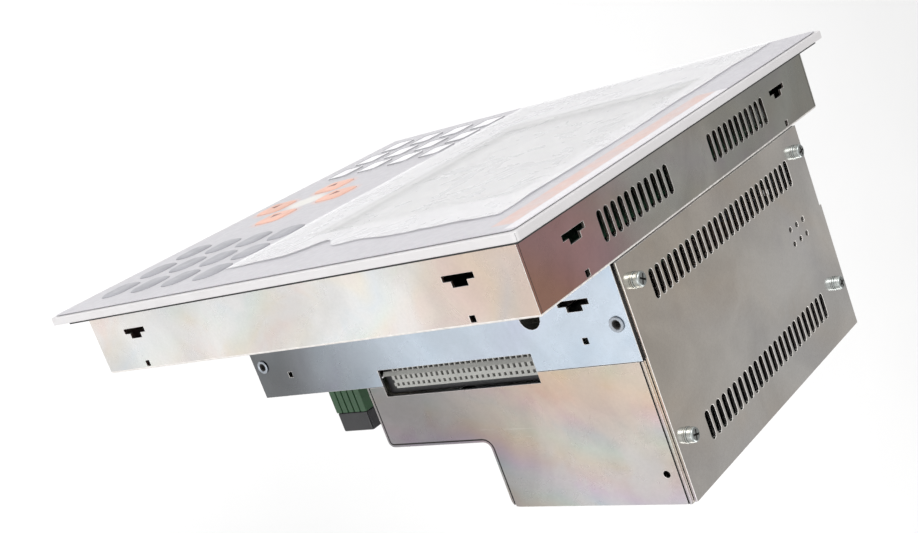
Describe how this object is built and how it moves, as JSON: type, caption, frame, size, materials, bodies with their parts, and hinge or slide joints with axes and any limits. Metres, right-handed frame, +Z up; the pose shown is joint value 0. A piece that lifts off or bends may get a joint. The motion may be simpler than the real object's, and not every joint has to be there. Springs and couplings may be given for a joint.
{
  "type": "hmi touch panel",
  "caption": "Panel-mounted operator terminal in portrait format with display, membrane keys, slotted sheet-metal tray, stepped rear housing, vented top plate and side connector.",
  "frame": {"origin": "middle of the seal's lower run, on the rubber face that meets the cabinet door", "axes": "+Y into the cabinet, so the operator looks along +Y; +Z up; +X to the operator's right"},
  "size_m": [0.323, 0.1715, 0.344],
  "materials": {
    "bezel_paint": "light grey powder coat",
    "foil": "printed polyester foil, light grey",
    "grey_key": "embossed foil, mid grey",
    "white_key": "embossed foil, white with a dark line around it",
    "orange_key": "embossed foil, faded orange",
    "seal_rubber": "closed-cell foam",
    "window_glass": "anti-glare",
    "film": "milky shipping film",
    "zinc_sheet": "passivated zinc, iridescent",
    "zinc_cover": "passivated zinc, iridescent",
    "zinc_plate": "passivated zinc, darker",
    "bright_zinc": "bright zinc",
    "connector_plastic": "moulded, grey-beige",
    "black_plastic": "moulded",
    "terminal_green": "moulded",
    "lcd_frame": "tinned frame",
    "board_green": "solder resist",
    "sink_aluminium": "extruded",
    "standoff_brass": "turned"
  },
  "bodies": {
    "housing": {"bezel_frame": "bezel_paint", "front_foil": "foil", "panel_seal": "seal_rubber", "display_window": "window_glass", "protective_film": "film", "front_tray": "zinc_sheet", "middle_housing": "zinc_sheet", "rear_cover": "zinc_cover", "top_plate": "zinc_plate", "plate_screw_1": "bright_zinc", "plate_screw_2": "bright_zinc", "plate_screw_3": "bright_zinc", "plate_screw_4": "bright_zinc", "press_nut_lower": "bright_zinc", "press_nut_upper": "bright_zinc", "io_connector": "connector_plastic", "connector_shroud": "black_plastic", "terminal_header": "terminal_green", "lcd_module": "lcd_frame", "inverter_board": "board_green", "keypad_board": "board_green", "main_board": "board_green", "backplane_board": "board_green", "power_supply_board": "board_green", "heat_sink": "sink_aluminium", "board_standoff_1": "standoff_brass", "board_standoff_2": "standoff_brass", "board_standoff_3": "standoff_brass", "board_standoff_4": "standoff_brass"},
    "function_key_01": {"function_key_01": "white_key"},
    "function_key_02": {"function_key_02": "white_key"},
    "function_key_03": {"function_key_03": "white_key"},
    "function_key_04": {"function_key_04": "white_key"},
    "function_key_05": {"function_key_05": "white_key"},
    "function_key_06": {"function_key_06": "white_key"},
    "function_key_07": {"function_key_07": "white_key"},
    "function_key_08": {"function_key_08": "white_key"},
    "function_key_09": {"function_key_09": "white_key"},
    "function_key_10": {"function_key_10": "white_key"},
    "function_key_11": {"function_key_11": "white_key"},
    "function_key_12": {"function_key_12": "white_key"},
    "number_key_01": {"number_key_01": "grey_key"},
    "number_key_02": {"number_key_02": "grey_key"},
    "number_key_03": {"number_key_03": "grey_key"},
    "number_key_04": {"number_key_04": "grey_key"},
    "number_key_05": {"number_key_05": "grey_key"},
    "number_key_06": {"number_key_06": "grey_key"},
    "number_key_07": {"number_key_07": "grey_key"},
    "number_key_08": {"number_key_08": "grey_key"},
    "number_key_09": {"number_key_09": "grey_key"},
    "number_key_10": {"number_key_10": "grey_key"},
    "number_key_11": {"number_key_11": "grey_key"},
    "number_key_12": {"number_key_12": "grey_key"},
    "arrow_key_up": {"arrow_key_up": "orange_key"},
    "arrow_key_left": {"arrow_key_left": "orange_key"},
    "arrow_key_right": {"arrow_key_right": "orange_key"},
    "arrow_key_down": {"arrow_key_down": "orange_key"},
    "power_plug": {"terminal_plug": "terminal_green", "plug_hood": "black_plastic"}
  },
  "joints": [
    {"name": "function_press_01", "type": "slide", "parent": "housing", "child": "function_key_01", "axis": [0, 1, 0], "range_m": [0, 0.0007], "stiffness_N_per_m": 2500},
    {"name": "function_press_02", "type": "slide", "parent": "housing", "child": "function_key_02", "axis": [0, 1, 0], "range_m": [0, 0.0007], "stiffness_N_per_m": 2500},
    {"name": "function_press_03", "type": "slide", "parent": "housing", "child": "function_key_03", "axis": [0, 1, 0], "range_m": [0, 0.0007], "stiffness_N_per_m": 2500},
    {"name": "function_press_04", "type": "slide", "parent": "housing", "child": "function_key_04", "axis": [0, 1, 0], "range_m": [0, 0.0007], "stiffness_N_per_m": 2500},
    {"name": "function_press_05", "type": "slide", "parent": "housing", "child": "function_key_05", "axis": [0, 1, 0], "range_m": [0, 0.0007], "stiffness_N_per_m": 2500},
    {"name": "function_press_06", "type": "slide", "parent": "housing", "child": "function_key_06", "axis": [0, 1, 0], "range_m": [0, 0.0007], "stiffness_N_per_m": 2500},
    {"name": "function_press_07", "type": "slide", "parent": "housing", "child": "function_key_07", "axis": [0, 1, 0], "range_m": [0, 0.0007], "stiffness_N_per_m": 2500},
    {"name": "function_press_08", "type": "slide", "parent": "housing", "child": "function_key_08", "axis": [0, 1, 0], "range_m": [0, 0.0007], "stiffness_N_per_m": 2500},
    {"name": "function_press_09", "type": "slide", "parent": "housing", "child": "function_key_09", "axis": [0, 1, 0], "range_m": [0, 0.0007], "stiffness_N_per_m": 2500},
    {"name": "function_press_10", "type": "slide", "parent": "housing", "child": "function_key_10", "axis": [0, 1, 0], "range_m": [0, 0.0007], "stiffness_N_per_m": 2500},
    {"name": "function_press_11", "type": "slide", "parent": "housing", "child": "function_key_11", "axis": [0, 1, 0], "range_m": [0, 0.0007], "stiffness_N_per_m": 2500},
    {"name": "function_press_12", "type": "slide", "parent": "housing", "child": "function_key_12", "axis": [0, 1, 0], "range_m": [0, 0.0007], "stiffness_N_per_m": 2500},
    {"name": "number_press_01", "type": "slide", "parent": "housing", "child": "number_key_01", "axis": [0, 1, 0], "range_m": [0, 0.0007], "stiffness_N_per_m": 2500},
    {"name": "number_press_02", "type": "slide", "parent": "housing", "child": "number_key_02", "axis": [0, 1, 0], "range_m": [0, 0.0007], "stiffness_N_per_m": 2500},
    {"name": "number_press_03", "type": "slide", "parent": "housing", "child": "number_key_03", "axis": [0, 1, 0], "range_m": [0, 0.0007], "stiffness_N_per_m": 2500},
    {"name": "number_press_04", "type": "slide", "parent": "housing", "child": "number_key_04", "axis": [0, 1, 0], "range_m": [0, 0.0007], "stiffness_N_per_m": 2500},
    {"name": "number_press_05", "type": "slide", "parent": "housing", "child": "number_key_05", "axis": [0, 1, 0], "range_m": [0, 0.0007], "stiffness_N_per_m": 2500},
    {"name": "number_press_06", "type": "slide", "parent": "housing", "child": "number_key_06", "axis": [0, 1, 0], "range_m": [0, 0.0007], "stiffness_N_per_m": 2500},
    {"name": "number_press_07", "type": "slide", "parent": "housing", "child": "number_key_07", "axis": [0, 1, 0], "range_m": [0, 0.0007], "stiffness_N_per_m": 2500},
    {"name": "number_press_08", "type": "slide", "parent": "housing", "child": "number_key_08", "axis": [0, 1, 0], "range_m": [0, 0.0007], "stiffness_N_per_m": 2500},
    {"name": "number_press_09", "type": "slide", "parent": "housing", "child": "number_key_09", "axis": [0, 1, 0], "range_m": [0, 0.0007], "stiffness_N_per_m": 2500},
    {"name": "number_press_10", "type": "slide", "parent": "housing", "child": "number_key_10", "axis": [0, 1, 0], "range_m": [0, 0.0007], "stiffness_N_per_m": 2500},
    {"name": "number_press_11", "type": "slide", "parent": "housing", "child": "number_key_11", "axis": [0, 1, 0], "range_m": [0, 0.0007], "stiffness_N_per_m": 2500},
    {"name": "number_press_12", "type": "slide", "parent": "housing", "child": "number_key_12", "axis": [0, 1, 0], "range_m": [0, 0.0007], "stiffness_N_per_m": 2500},
    {"name": "arrow_press_up", "type": "slide", "parent": "housing", "child": "arrow_key_up", "axis": [0, 1, 0], "range_m": [0, 0.0007], "stiffness_N_per_m": 2500},
    {"name": "arrow_press_left", "type": "slide", "parent": "housing", "child": "arrow_key_left", "axis": [0, 1, 0], "range_m": [0, 0.0007], "stiffness_N_per_m": 2500},
    {"name": "arrow_press_right", "type": "slide", "parent": "housing", "child": "arrow_key_right", "axis": [0, 1, 0], "range_m": [0, 0.0007], "stiffness_N_per_m": 2500},
    {"name": "arrow_press_down", "type": "slide", "parent": "housing", "child": "arrow_key_down", "axis": [0, 1, 0], "range_m": [0, 0.0007], "stiffness_N_per_m": 2500},
    {"name": "power_plug_pull", "type": "slide", "parent": "housing", "child": "power_plug", "axis": [0, 1, 0], "range_m": [0, 0.016]}
  ]
}
